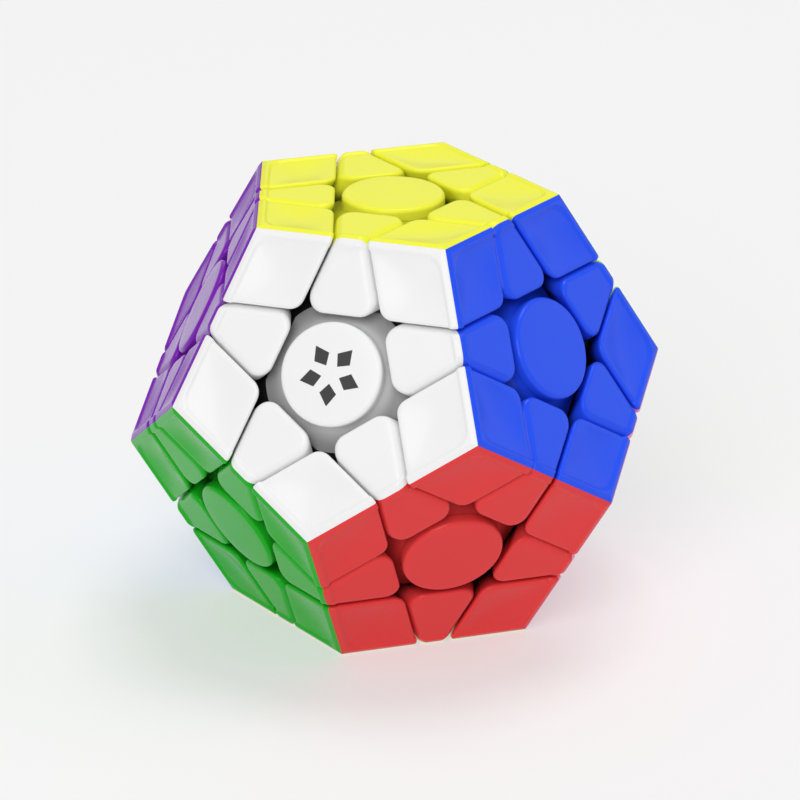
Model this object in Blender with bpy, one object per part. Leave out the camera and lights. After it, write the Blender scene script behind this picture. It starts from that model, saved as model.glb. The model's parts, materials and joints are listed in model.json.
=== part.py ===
"""Dodecahedron twisty puzzle: a face-turning dodecahedron with 12 centres, 30 edges and 20 corners.

Frame: metres, +Z up, origin at the centre of the core, where the twelve turning axes meet.
+Z runs through the yellow face, and the white face leans up towards -Y.

How it works. Every boundary between two pieces is either a flat plane square to a turning axis or a ball
round the origin, so a layer turns without touching its neighbours:
- outside the flange ball, a layer is what lies beyond its cut plane;
- between the foot ball and the base ball, a layer is what lies beyond its lower foot plane, so the feet of
  the corners reach under the edges, and the feet of the edges reach under the skirts of the centres;
- inside, the bases of the twelve centres make a nearly closed ball that the feet slide on.
A centre turns on a screw in the core, and the spring under the screw's head pulls it inwards.

The yellow, red and light blue layers turn. They are three faces no two of which share a piece. Each layer's
pieces are children of an empty whose Z is the turning axis. The other nine centres are fixed to the core.
"""

import itertools
import math

import bmesh
import bpy
from mathutils import Matrix, Vector

# ---- driving dimensions, in metres ----
EDGE_LENGTH = 0.0320  # side of the dodecahedron
EDGE_PIECE_WIDTH = 0.00426  # of an edge piece along the dodecahedron's side, between the cuts
CORNER_NECK = 0.0031  # from a corner's axis to the flats of its neck
FOOT_THICKNESS = 0.0053  # from the middle of the shell gap to the bases of the centres

CAP_MARGIN = 0.0004  # from the round cap in the middle of a face to the cut lines round it
CAP_CHAMFER = 0.0005
CAP_WALL = 0.0012  # straight side of the cap, above the skirt
CAP_THICKNESS = 0.0016  # over the spring well
SKIRT_REACH = 0.0038  # how far the flared skirt stands out beyond the cap
SKIRT_RIM = 0.0007  # thickness of the skirt's edge
CORNER_TIP_ROUND = 0.0019  # bevel of a corner's inner tips
EDGE_END_ROUND = 0.0034  # bevel of an edge's inner ends

SCREW_RADIUS = 0.0015
SCREW_HEAD_RADIUS = 0.0028
SCREW_HEAD_HEIGHT = 0.0015
SCREW_TIP_CHAMFER = 0.0005
SCREW_TIP_HEIGHT = 0.0075  # of the screw's tip above the origin
RECESS_WIDTH = 0.0007  # of the arms of the cross recess in the head
RECESS_DEPTH = 0.0008
SPRING_RADIUS = 0.0022  # to the middle of the wire
SPRING_WIRE = 0.0003  # the wire's radius
SPRING_LENGTH = 0.0085  # between the middles of the wire at the two ends
SPRING_TURNS = 5  # with the two close-wound end turns

STEM_WALL = 0.0015  # of a centre's stem, round the spring well
HUB_WALL = 0.0011  # of the hub under a centre's base
HUB_FLOOR = 0.0055  # from the floor of the spring well down to the hub's foot
BASE_RIM = 0.0015  # thickness of a centre's base at its edge
CORE_RADIUS = 0.0100
POST_RADIUS = 0.0040

# ---- clearances and overlaps, in metres ----
PLANE_GAP = 0.0004  # between pieces on two sides of a flat cut
SHELL_GAP = 0.0009  # between the feet and the flanges over them
BASE_GAP = 0.0009  # between the feet and the bases under them
NECK_STEP = 0.0001  # how far a neck stands in from the pieces that it joins
JOIN_OVERLAP = 0.0010  # how far shapes that make one solid run into each other
SEAT_GAP = 0.0003  # between parts that rest on each other
RUNNING_CLEARANCE = 0.0001  # between the screw and the bore that turns on it
WELL_CLEARANCE = 0.0005  # between the well and the screw's head or the spring
HEAD_CLEARANCE = 0.0005  # between the screw's head and the cap
COIL_GAP = 0.0001  # between the close-wound turns at a spring's ends

# ---- fineness of the round shapes ----
BALL_SUBDIVISIONS = 3
CORE_SUBDIVISIONS = 2
ROUND_SIDES = 15  # of the turned parts of a centre
SCREW_SIDES = 12
SKIRT_STEPS = 3  # spans along the flare of the skirt
BASE_STEPS = 2  # spans across the dome of a base
BEVEL_STEPS = 2
COIL_POINTS = 8  # in each turn of a spring
MERGE_DISTANCE = 1e-6  # points of a solid nearer than this are one point
SAME_DIRECTION = 0.99  # least cosine between normals that count as the same
SMOOTH_ANGLE = math.radians(35)

# ---- angles and proportions of the dodecahedron ----
GOLDEN = (1 + math.sqrt(5)) / 2
FACE_CORNER = math.radians(108)
FACE_TILT = math.atan(0.5)  # how far the normals of the upper faces rise above the horizontal
AXIS_ANGLE = math.atan(2)  # between the normals of neighbouring faces
VERTEX_ANGLE = math.acos(math.sqrt((5 + 2 * math.sqrt(5)) / 15))  # between a face's normal and its vertex

# ---- derived dimensions ----
FACE_HEIGHT = EDGE_LENGTH * GOLDEN**2 / (2 * math.sqrt(3 - GOLDEN))
FACE_INRADIUS = EDGE_LENGTH / (2 * math.tan(math.pi / 5))
CUT_INSET = (EDGE_LENGTH - EDGE_PIECE_WIDTH) / 2 * math.sin(FACE_CORNER)
CUT_HEIGHT = FACE_HEIGHT - CUT_INSET * math.sin(AXIS_ANGLE)
CAP_RADIUS = FACE_INRADIUS - CUT_INSET - CAP_MARGIN
SKIRT_RADIUS = CAP_RADIUS + SKIRT_REACH
SHELL_RADIUS = (CUT_HEIGHT + CORNER_NECK * math.sin(VERTEX_ANGLE)) / math.cos(VERTEX_ANGLE)
FLANGE_RADIUS = SHELL_RADIUS + SHELL_GAP / 2
FOOT_RADIUS = SHELL_RADIUS - SHELL_GAP / 2
BASE_RADIUS = SHELL_RADIUS - FOOT_THICKNESS
DOME_RADIUS = BASE_RADIUS - BASE_GAP / 2
WELL_RADIUS = max(SCREW_HEAD_RADIUS, SPRING_RADIUS + SPRING_WIRE) + WELL_CLEARANCE
STEM_RADIUS = WELL_RADIUS + STEM_WALL
HUB_RADIUS = WELL_RADIUS + HUB_WALL
FOOT_HEIGHT = SHELL_RADIUS * math.cos(AXIS_ANGLE) + (STEM_RADIUS + PLANE_GAP) * math.sin(AXIS_ANGLE)
WELL_TOP = FACE_HEIGHT - CAP_THICKNESS
HEAD_TOP = WELL_TOP - HEAD_CLEARANCE
HEAD_SEAT = HEAD_TOP - SCREW_HEAD_HEIGHT
SPRING_TOP = HEAD_SEAT - SEAT_GAP - SPRING_WIRE
SPRING_FOOT = SPRING_TOP - SPRING_LENGTH
WELL_FLOOR = SPRING_FOOT - SPRING_WIRE - SEAT_GAP
HUB_FOOT = WELL_FLOOR - HUB_FLOOR
POST_TOP = HUB_FOOT - SEAT_GAP
POST_FOOT = math.sqrt(CORE_RADIUS**2 - POST_RADIUS**2) - JOIN_OVERLAP
FIXED_JOINT = POST_TOP - JOIN_OVERLAP  # where a fixed centre's hub starts on its post

# ---- faces and their colours, in linear red, green and blue ----
COLOURS = {
    "yellow": (0.87, 0.87, 0.07),
    "white": (0.90, 0.90, 0.90),
    "blue": (0.03, 0.08, 0.80),
    "light_green": (0.35, 0.78, 0.16),
    "orange": (0.95, 0.27, 0.03),
    "purple": (0.25, 0.07, 0.45),
    "cream": (0.88, 0.80, 0.50),
    "grey": (0.32, 0.33, 0.34),
    "light_blue": (0.12, 0.55, 0.90),
    "green": (0.04, 0.40, 0.06),
    "red": (0.70, 0.03, 0.04),
    "pink": (0.90, 0.30, 0.50),
}
INNER_PLASTIC = (0.02, 0.02, 0.02)
STEEL = (0.60, 0.60, 0.62)
UPPER_RING = ("white", "blue", "light_green", "orange", "purple")  # counterclockwise seen from above
WHITE_HEADING = math.radians(-90)
OPPOSITE = {"yellow": "cream", "white": "grey", "blue": "light_blue", "light_green": "green",
            "orange": "red", "purple": "pink"}
TURNING = ("yellow", "red", "light_blue")
MODEL_FACES = ("yellow", "white", "blue")  # each shared mesh is made here, then turned into its places


# ---- directions ----

def face_normals():
    """The outward unit normal of each face."""
    normals = {"yellow": Vector((0, 0, 1))}
    level = math.cos(FACE_TILT)
    for place, face in enumerate(UPPER_RING):
        heading = WHITE_HEADING + place * 2 * math.pi / len(UPPER_RING)
        normals[face] = Vector((level * math.cos(heading), level * math.sin(heading), math.sin(FACE_TILT)))
    for face, other in OPPOSITE.items():
        normals[other] = -normals[face]
    return normals


NORMALS = face_normals()


def are_neighbours(*faces):
    """Whether every two of these faces share a side of the dodecahedron."""
    cosines = [NORMALS[one].dot(NORMALS[other]) for one, other in itertools.combinations(faces, 2)]
    return all(math.isclose(cosine, math.cos(AXIS_ANGLE), abs_tol=MERGE_DISTANCE) for cosine in cosines)


def neighbours_of(*faces):
    """The faces that share a side with all of these."""
    return [other for other in COLOURS if all(are_neighbours(other, face) for face in faces)]


def is_right_handed(one, two, three):
    return NORMALS[one].cross(NORMALS[two]).dot(NORMALS[three]) > 0


def right_handed(one, two, three=None):
    """Three faces of a corner in a right-handed order. With two faces, the third is found."""
    if three is None:
        three = next(face for face in neighbours_of(one, two) if is_right_handed(one, two, face))
    return (one, two, three) if is_right_handed(one, two, three) else (two, one, three)


def placement(target):
    """The rotation that carries the model faces to three right-handed target faces."""
    here = Matrix([NORMALS[face] for face in MODEL_FACES]).transposed()
    there = Matrix([NORMALS[face] for face in target]).transposed()
    return (there @ here.inverted()).to_4x4()


def centre_placement(face):
    """The rotation that carries the model centre to this face."""
    return placement(right_handed(face, neighbours_of(face)[0]))


# ---- solids ----

def to_mesh(bm, name):
    bmesh.ops.recalc_face_normals(bm, faces=bm.faces)
    mesh = bpy.data.meshes.new(name)
    bm.to_mesh(mesh)
    bm.free()
    return mesh


def ball(radius, subdivisions=BALL_SUBDIVISIONS):
    bm = bmesh.new()
    bmesh.ops.create_icosphere(bm, subdivisions=subdivisions, radius=radius)
    return bm


def block(length, width, height):
    bm = bmesh.new()
    bmesh.ops.create_cube(bm, size=1)
    bmesh.ops.scale(bm, vec=(length, width, height), verts=bm.verts)
    return bm


def big_block():
    """A cube that holds the whole puzzle, to be trimmed."""
    return block(4 * FACE_HEIGHT, 4 * FACE_HEIGHT, 4 * FACE_HEIGHT)


def trim(bm, limits):
    """Cuts a convex solid back to where the height along each normal stays below its limit."""
    for normal, height in limits:
        everything = bm.verts[:] + bm.edges[:] + bm.faces[:]
        cut = bmesh.ops.bisect_plane(bm, geom=everything, plane_co=normal * height, plane_no=normal,
                                     clear_outer=True)
        rim = [part for part in cut["geom_cut"] if isinstance(part, bmesh.types.BMEdge)]
        if rim:
            bmesh.ops.edgeloop_fill(bm, edges=rim)
            bmesh.ops.remove_doubles(bm, verts=bm.verts, dist=MERGE_DISTANCE)
    return bm


def turned(profile, sides=ROUND_SIDES):
    """An outline of (radius, height) points that starts and ends on the Z axis, turned about it."""
    bm = bmesh.new()
    points = [bm.verts.new((radius, 0, height)) for radius, height in profile]
    edges = [bm.edges.new(pair) for pair in zip(points, points[1:])]
    bmesh.ops.spin(bm, geom=points + edges, cent=(0, 0, 0), axis=(0, 0, 1), angle=2 * math.pi, steps=sides)
    bmesh.ops.remove_doubles(bm, verts=bm.verts, dist=MERGE_DISTANCE)
    return bm


def rod(radius, low, high):
    return turned([(0, low), (radius, low), (radius, high), (0, high)], SCREW_SIDES)


def around(radius, sides):
    """The corner radius of a regular polygon whose flats stand this far from its middle."""
    return radius / math.cos(math.pi / sides)


def combined(first, *steps):
    """The triangulated mesh left after a row of (operation, mesh) Booleans on the first mesh."""
    helpers = [bpy.data.objects.new(mesh.name, mesh) for mesh in [first, *(mesh for _, mesh in steps)]]
    for helper in helpers:
        bpy.context.collection.objects.link(helper)
    body = helpers[0]
    for (operation, _), tool in zip(steps, helpers[1:]):
        modifier = body.modifiers.new(operation, "BOOLEAN")
        modifier.operation = operation
        modifier.solver = "EXACT"
        modifier.object = tool
    graph = bpy.context.evaluated_depsgraph_get()
    bm = bmesh.new()
    bm.from_object(body, graph)
    bmesh.ops.remove_doubles(bm, verts=bm.verts, dist=MERGE_DISTANCE)
    bmesh.ops.triangulate(bm, faces=bm.faces)
    for helper in helpers:
        bpy.data.objects.remove(helper)
    return to_mesh(bm, first.name)


# ---- corners and edges ----

def layer_limits(inside, outside, height, margin):
    """Limits that keep a solid this margin beyond each inside face's plane and short of each outside's."""
    limits = [(-NORMALS[face], -(height + margin)) for face in inside]
    return limits + [(NORMALS[face], height - margin) for face in outside]


def round_inner_edges(bm, inside, width):
    """Bevels the edges where two cut planes meet, next to the middle of a face."""
    bm.normal_update()
    cuts = [face for face in bm.faces
            if all(face.normal.dot(NORMALS[name]) < SAME_DIRECTION for name in inside)]
    inner = [edge for edge in bm.edges if all(face in cuts for face in edge.link_faces)]
    reaching_out = [edge for edge in inner if any(vert.co.length > FACE_HEIGHT for vert in edge.verts)]
    bmesh.ops.bevel(bm, geom=reaching_out, offset=width, segments=BEVEL_STEPS, profile=0.5, affect="EDGES")


def outer_piece(inside, inner_round, name):
    """A corner or an edge of these faces: its outer part, its neck and its foot."""
    beside = {other for face in inside for other in neighbours_of(face)}
    outside = [face for face in COLOURS if face in beside and face not in inside]
    gap = PLANE_GAP / 2
    shell = trim(big_block(), [(NORMALS[face], FACE_HEIGHT) for face in inside]
                 + layer_limits(inside, outside, CUT_HEIGHT, gap))
    round_inner_edges(shell, inside, inner_round)
    neck_gap = gap + NECK_STEP
    neck = trim(ball(FLANGE_RADIUS + JOIN_OVERLAP), layer_limits(inside, outside, CUT_HEIGHT, neck_gap)
                + layer_limits(inside, outside, FOOT_HEIGHT, neck_gap))
    foot = trim(ball(FOOT_RADIUS), layer_limits(inside, outside, FOOT_HEIGHT, gap))
    shell_mesh = combined(to_mesh(shell, name), ("DIFFERENCE", to_mesh(ball(FLANGE_RADIUS), "flange_ball")))
    return combined(shell_mesh, ("UNION", to_mesh(neck, "neck")), ("UNION", to_mesh(foot, "foot")),
                    ("DIFFERENCE", to_mesh(ball(BASE_RADIUS + BASE_GAP / 2), "base_ball")))


# ---- centres ----

def skirt_profile():
    """Outline of a centre's cap and skirt. The flare is a quarter of an ellipse."""
    rim_top = math.sqrt(FLANGE_RADIUS**2 - SKIRT_RADIUS**2) + SKIRT_RIM
    rim_bottom = rim_top - 2 * SKIRT_RIM
    wall_foot = FACE_HEIGHT - CAP_CHAMFER - CAP_WALL
    flare = []
    for step in range(SKIRT_STEPS + 1):
        angle = math.pi / 2 * step / SKIRT_STEPS
        flare.append((SKIRT_RADIUS - SKIRT_REACH * math.sin(angle),
                      wall_foot - (wall_foot - rim_top) * math.cos(angle)))
    return [(0, rim_bottom), (SKIRT_RADIUS, rim_bottom), *flare, (CAP_RADIUS, FACE_HEIGHT - CAP_CHAMFER),
            (CAP_RADIUS - CAP_CHAMFER, FACE_HEIGHT), (0, FACE_HEIGHT)]


def base_profile(foot):
    """Outline of a centre's hub, which starts with the given points, and of the domed base above it."""
    widest = AXIS_ANGLE / 2 - PLANE_GAP / DOME_RADIUS
    rim = DOME_RADIUS - BASE_RIM
    under = rim * math.cos(widest)
    dome = []
    for step in range(BASE_STEPS, -1, -1):
        angle = widest * step / BASE_STEPS
        dome.append((DOME_RADIUS * math.sin(angle), DOME_RADIUS * math.cos(angle)))
    return [*foot, (HUB_RADIUS, under - BASE_RIM), (rim * math.sin(widest), under), *dome]


def centre_solid(foot):
    """The model centre with no bore: cap and skirt, five-sided stem, base, and hub on the given outline."""
    face, *_ = MODEL_FACES
    sides = neighbours_of(face)
    gap = PLANE_GAP / 2
    lid = [(NORMALS[face], FACE_HEIGHT + JOIN_OVERLAP)]
    cell = trim(big_block(), lid + layer_limits((), sides, CUT_HEIGHT, gap))
    skirt = combined(to_mesh(turned(skirt_profile()), "skirt"), ("INTERSECT", to_mesh(cell, "cell")),
                     ("DIFFERENCE", to_mesh(ball(FLANGE_RADIUS), "flange_ball")))
    ends = [(-NORMALS[face], JOIN_OVERLAP - DOME_RADIUS), (NORMALS[face], FLANGE_RADIUS + JOIN_OVERLAP)]
    stem = trim(big_block(), ends + layer_limits((), sides, FOOT_HEIGHT, gap))
    return combined(to_mesh(turned(base_profile(foot)), "centre"), ("UNION", to_mesh(stem, "stem")),
                    ("UNION", skirt))


def turning_centre():
    """A centre with the bore that turns on the screw, and the well for the screw's head and the spring."""
    bore = around(SCREW_RADIUS + RUNNING_CLEARANCE, SCREW_SIDES)
    well = around(WELL_RADIUS, SCREW_SIDES)
    below = HUB_FOOT - JOIN_OVERLAP
    pocket = turned([(0, below), (bore, below), (bore, WELL_FLOOR), (well, WELL_FLOOR), (well, WELL_TOP),
                     (0, WELL_TOP)], SCREW_SIDES)
    hub_foot = [(0, HUB_FOOT), (HUB_RADIUS, HUB_FOOT)]
    return combined(centre_solid(hub_foot), ("DIFFERENCE", to_mesh(pocket, "pocket")))


# ---- core, screws and springs ----

def recess_arm(angle):
    """One arm of the cross recess in a screw's head."""
    arm = block(SCREW_HEAD_RADIUS, RECESS_WIDTH, 2 * RECESS_DEPTH)
    bmesh.ops.rotate(arm, matrix=Matrix.Rotation(angle, 3, "Z"), verts=arm.verts)
    bmesh.ops.translate(arm, vec=(0, 0, HEAD_TOP), verts=arm.verts)
    return to_mesh(arm, "recess")


def screw():
    """The screw of the model centre."""
    shape = turned([(0, SCREW_TIP_HEIGHT), (SCREW_RADIUS - SCREW_TIP_CHAMFER, SCREW_TIP_HEIGHT),
                    (SCREW_RADIUS, SCREW_TIP_HEIGHT + SCREW_TIP_CHAMFER), (SCREW_RADIUS, HEAD_SEAT),
                    (SCREW_HEAD_RADIUS, HEAD_SEAT), (SCREW_HEAD_RADIUS, HEAD_TOP), (0, HEAD_TOP)],
                   SCREW_SIDES)
    return combined(to_mesh(shape, "screw"), ("DIFFERENCE", recess_arm(0)),
                    ("DIFFERENCE", recess_arm(math.pi / 2)))


def spring_height(turns):
    """Height of the wire after this many turns: close-wound in the first and the last one, open between."""
    closed = 2 * SPRING_WIRE + COIL_GAP
    open_turns = SPRING_TURNS - 2
    open_pitch = (SPRING_LENGTH - 2 * closed) / open_turns
    in_first = min(turns, 1)
    in_open = min(max(turns - 1, 0), open_turns)
    in_last = max(turns - 1 - open_turns, 0)
    return SPRING_FOOT + closed * (in_first + in_last) + open_pitch * in_open


def spring():
    """The spring of the model centre, a helix of round wire."""
    curve = bpy.data.curves.new("spring", "CURVE")
    curve.dimensions = "3D"
    curve.bevel_depth = SPRING_WIRE
    curve.bevel_resolution = 1
    curve.use_fill_caps = True
    spline = curve.splines.new("POLY")
    spline.points.add(SPRING_TURNS * COIL_POINTS)
    for place, point in enumerate(spline.points):
        turns = place / COIL_POINTS
        angle = 2 * math.pi * turns
        x = SPRING_RADIUS * math.cos(angle)
        y = SPRING_RADIUS * math.sin(angle)
        point.co = (x, y, spring_height(turns), 1)
    return curve


def copies(mesh, faces):
    """One mesh of several copies of a model centre's part, each turned to its face."""
    bm = bmesh.new()
    for face in faces:
        copy = mesh.copy()
        copy.transform(centre_placement(face))
        bm.from_mesh(copy)
    return to_mesh(bm, mesh.name)


def core():
    """The core: a ball with twelve posts. Three have a screw hole, and nine carry a fixed centre.

    A fixed centre and its post are one outline, so that no sides of a post cross the foot of a hub.
    """
    post = rod(POST_RADIUS, POST_FOOT, POST_TOP)
    hole_radius = around(SCREW_RADIUS + SEAT_GAP, SCREW_SIDES)
    hole = rod(hole_radius, SCREW_TIP_HEIGHT - SEAT_GAP, POST_TOP + JOIN_OVERLAP)
    fixed = [face for face in COLOURS if face not in TURNING]
    fixed_foot = [(0, POST_FOOT), (POST_RADIUS, POST_FOOT), (POST_RADIUS, FIXED_JOINT),
                  (HUB_RADIUS, FIXED_JOINT)]
    return combined(to_mesh(ball(CORE_RADIUS, CORE_SUBDIVISIONS), "core"),
                    ("UNION", copies(to_mesh(post, "posts"), TURNING)),
                    ("DIFFERENCE", copies(to_mesh(hole, "holes"), TURNING)),
                    ("UNION", copies(centre_solid(fixed_foot), fixed)))


# ---- materials and objects ----

def finish(name, colour, roughness=0.3, metallic=0.0):
    material = bpy.data.materials.new(name)
    material.use_nodes = True
    shader = material.node_tree.nodes["Principled BSDF"]
    shader.inputs["Base Color"].default_value = (*colour, 1)
    shader.inputs["Roughness"].default_value = roughness
    shader.inputs["Metallic"].default_value = metallic
    return material


def colour_by_face(mesh, faces):
    """Outside the flange ball, each polygon takes the material of the nearest face. Slot 0 is the foot's."""
    for polygon in mesh.polygons:
        heights = [polygon.center.dot(NORMALS[face]) for face in faces]
        if polygon.center.length > FLANGE_RADIUS:
            polygon.material_index = 1 + heights.index(max(heights))


def show(name, data, place, materials, parent=None):
    """One named object, turned into its place about the origin."""
    obj = bpy.data.objects.new(name, data)
    bpy.context.collection.objects.link(obj)
    if parent:
        obj.parent = parent
        obj.matrix_parent_inverse = parent.matrix_basis.inverted()
    obj.matrix_basis = place
    while len(data.materials) < len(materials):
        data.materials.append(None)
    for slot, material in zip(obj.material_slots, materials):
        slot.link = "OBJECT"
        slot.material = material


def turning_axis(face):
    """The empty that a turning layer hangs on, with its Z along the layer's axis."""
    empty = bpy.data.objects.new("axis_" + face, None)
    bpy.context.collection.objects.link(empty)
    empty.matrix_basis = centre_placement(face)
    return empty


def smoothed(mesh):
    mesh.shade_smooth()
    mesh.set_sharp_from_angle(angle=SMOOTH_ANGLE)
    return mesh


def build():
    for obj in list(bpy.data.objects):
        bpy.data.objects.remove(obj)
    dark = finish("inner_plastic", INNER_PLASTIC, 0.4)
    steel = finish("steel", STEEL, 0.3, 1.0)
    colours = {face: finish(face, colour) for face, colour in COLOURS.items()}
    axes = {face: turning_axis(face) for face in TURNING}

    corner_mesh = smoothed(outer_piece(MODEL_FACES, CORNER_TIP_ROUND, "corner"))
    colour_by_face(corner_mesh, MODEL_FACES)
    edge_mesh = smoothed(outer_piece(MODEL_FACES[:2], EDGE_END_ROUND, "edge"))
    colour_by_face(edge_mesh, MODEL_FACES[:2])
    for kind, mesh, count in (("corner_", corner_mesh, 3), ("edge_", edge_mesh, 2)):
        for faces in itertools.combinations(COLOURS, count):
            if are_neighbours(*faces):
                target = right_handed(*faces)
                axis = next((axes[face] for face in faces if face in axes), None)
                materials = [dark, *(colours[face] for face in target[:count])]
                show(kind + "_".join(faces), mesh, placement(target), materials, axis)

    parts = {"centre": smoothed(turning_centre()), "screw": smoothed(screw()), "spring": spring()}
    for face in TURNING:
        place = centre_placement(face)
        show("centre_" + face, parts["centre"], place, [colours[face]], axes[face])
        show("screw_" + face, parts["screw"], place, [steel])
        show("spring_" + face, parts["spring"], place, [steel])
    show("core_with_fixed_centres", smoothed(core()), Matrix.Identity(4), [dark])


build()
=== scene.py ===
"""The looks of the dodecahedron twisty puzzle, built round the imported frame.

Each kind of piece is made once, where the yellow face meets the white and the blue one, and copied to its
other places by the turns of the dodecahedron. Lengths are in metres, in the frame of the part: the origin is
where the turning axes meet, and +Z runs through the yellow face.
"""
import itertools
import json
import math

import bmesh
import bpy
from mathutils import Matrix, Vector


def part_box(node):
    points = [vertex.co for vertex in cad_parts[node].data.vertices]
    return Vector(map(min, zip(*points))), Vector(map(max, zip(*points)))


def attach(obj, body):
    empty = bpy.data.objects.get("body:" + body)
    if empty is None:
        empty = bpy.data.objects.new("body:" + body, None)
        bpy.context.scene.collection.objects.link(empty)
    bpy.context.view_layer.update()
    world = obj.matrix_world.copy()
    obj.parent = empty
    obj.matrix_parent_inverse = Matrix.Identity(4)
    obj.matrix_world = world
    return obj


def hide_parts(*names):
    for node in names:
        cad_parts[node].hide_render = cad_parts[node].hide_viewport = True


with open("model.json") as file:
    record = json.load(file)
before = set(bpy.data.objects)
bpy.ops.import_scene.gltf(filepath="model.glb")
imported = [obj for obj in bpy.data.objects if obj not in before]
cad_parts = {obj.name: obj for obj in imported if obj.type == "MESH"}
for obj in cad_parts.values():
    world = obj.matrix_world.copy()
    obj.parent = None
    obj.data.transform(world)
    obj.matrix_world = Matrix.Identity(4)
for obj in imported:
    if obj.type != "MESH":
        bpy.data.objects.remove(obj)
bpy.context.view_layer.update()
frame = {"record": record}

# ---- sizes of the design, from the frame and from part.py ----
FACE_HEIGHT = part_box("centre_yellow")[1].z
GOLDEN = (1 + math.sqrt(5)) / 2
EDGE_LENGTH = FACE_HEIGHT * 2 * math.sqrt(3 - GOLDEN) / GOLDEN**2
EDGE_PIECE_WIDTH = 0.00426
CORNER_NECK = 0.0031
FOOT_THICKNESS = 0.0053
SHELL_GAP = 0.0009
BASE_GAP = 0.0009
PLANE_GAP = 0.0004
NECK_STEP = 0.0001
JOIN_OVERLAP = 0.0010
CAP_MARGIN = 0.0004
SKIRT_REACH = 0.0038
SKIRT_RIM = 0.0007
CAP_THICKNESS = 0.0016
WELL_RADIUS = 0.0033
STEM_WALL = 0.0015
HUB_WALL = 0.0011
HUB_FLOOR = 0.0055
BASE_RIM = 0.0015
CORE_RADIUS = 0.0100
POST_RADIUS = 0.0040
SCREW_RADIUS = 0.0015
SCREW_HEAD_RADIUS = 0.0028
SCREW_HEAD_HEIGHT = 0.0015
SCREW_TIP_HEIGHT = 0.0075
RECESS_WIDTH = 0.0007
RECESS_DEPTH = 0.0008
SPRING_RADIUS = 0.0022
SPRING_WIRE = 0.0003
SPRING_LENGTH = 0.0085
SPRING_TURNS = 5
SEAT_GAP = 0.0003
HEAD_CLEARANCE = 0.0005
RUNNING_CLEARANCE = 0.0001
COIL_GAP = 0.0001

# ---- fine shapes ----
FILLET = 0.00085  # along the borders beside the cuts
TIP_RADIUS = 0.0026  # of a corner's inner tip, seen square on
END_RADIUS = 0.0025  # of an edge's inner ends
RIDGE_RADIUS = 0.00030  # where two colours meet
BAND_WIDTH = 0.00100  # the sloping outer band of the rim
BAND_DROP = 0.00028
CREASE_START = 0.00128  # where the rim steps down to the panel
CREASE_WIDTH = 0.00036
PANEL_DROP = 0.00032
CREASE_ROUND = 0.0026  # blend of the crease where it rounds a corner
DISH_DROP = 0.00050  # of the hollow in the middle of a corner's panel
CAP_FILLET = 0.00075
CAP_SIDE = 0.00125  # straight wall of the cap under its fillet
CAP_SEAM = 0.00005
CAP_DROP = 0.00003  # of every cap below its face's plane, so that the emblem stays inside
FOOT_BEVEL = 0.00025
HEAD_FILLET = 0.0004  # of a screw's head
THREAD_PITCH = 0.0006
THREAD_FLAT = 0.3  # share of the pitch along the thread's root
THREAD_RISE = 0.4  # share of the pitch from the root up to the crest
THREAD_ROOT = 0.8  # share of the screw's radius
TIP_SHARE = 0.5  # the screw's tip, as a share of its radius

# ---- emblem on the white cap ----
KITES = 5
PRINT_RADIUS = 0.0052
PRINT_HEIGHT = 0.00002
KITE_START = 0.30  # of a kite's inner point, as a share of the radius
KITE_WIDEST = 0.66
KITE_SPREAD = 0.42  # angle from a kite's middle line to its side points

# ---- plastics and steel ----
SHADE_START = 0.0024  # depth below a face where the painted shade of the gaps and recesses starts to darken its colour, and where it is darkest
SHADE_END = 0.0051
SHADE_LEAST = 0.20
FACE_ROUGHNESS = 0.19
FACE_GRAIN = 0.010
FACE_SPECULAR = 0.15
INNER_COLOUR = (0.016, 0.016, 0.017)
INNER_ROUGHNESS = 0.42
INNER_GRAIN = 0.3
INK_COLOUR = (0.012, 0.012, 0.012)
INK_ROUGHNESS = 0.35
INK_GRAIN = 0.1
PLAIN_SPECULAR = 0.5
STEEL_COLOUR = (0.60, 0.60, 0.62)
STEEL_ROUGHNESS = 0.3
CLOUD_SCALE = 90  # of the faint cloud in a plastic's colour
CLOUD_CHANGE = 0.02
GLOSS_SCALE = 260
GLOSS_CHANGE = 0.03
GRAIN_SCALE = 5200
GRAIN_DETAIL = 2.0
GRAIN_HEIGHT = 0.00001
NOISE_DETAIL = 3.0
NOISE_LOW = 0.3  # most of a noise texture's values lie between these
NOISE_HIGH = 0.7
STEEL_CLOUD_SCALE = 400
STEEL_CLOUD_CHANGE = 0.06
STEEL_GLOSS_SCALE = 1500
STEEL_GLOSS_CHANGE = 0.08

# ---- light, floor and camera ----
LIGHTS = {  # azimuth and elevation in degrees, size in metres and power in watts
    "top": (165, 74, 1.7, 31),
    "front": (6, 34, 2.0, 45),
    "side": (122, 15, 1.7, 5.5),
    "back": (198, 25, 1.5, 2.2),
}
LIGHT_DISTANCE = 3.0
WORLD_STRENGTH = 0.40
FLOOR_SIZE = 8
FLOOR_SINK = 0.00002  # keeps the floor out of the plane of the lowest face
FLOOR_TONE = 0.50
FLOOR_GLOW = 0.42  # keeps the floor pale and even, as on a lit sweep
FLOOR_ROUGHNESS = 0.9
FLOOR_SPECULAR = 0.1
CAMERA_AZIMUTH = math.radians(18.2)
CAMERA_ELEVATION = math.radians(22.28)
CAMERA_DISTANCE = 0.8129
CAMERA_OFFSET = (0.00108, -0.00086)  # right and up, so that the puzzle sits where it does in the photograph
CAMERA_LENS = 220.9
SENSOR_WIDTH = 36
CLIP_END = 20

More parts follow.
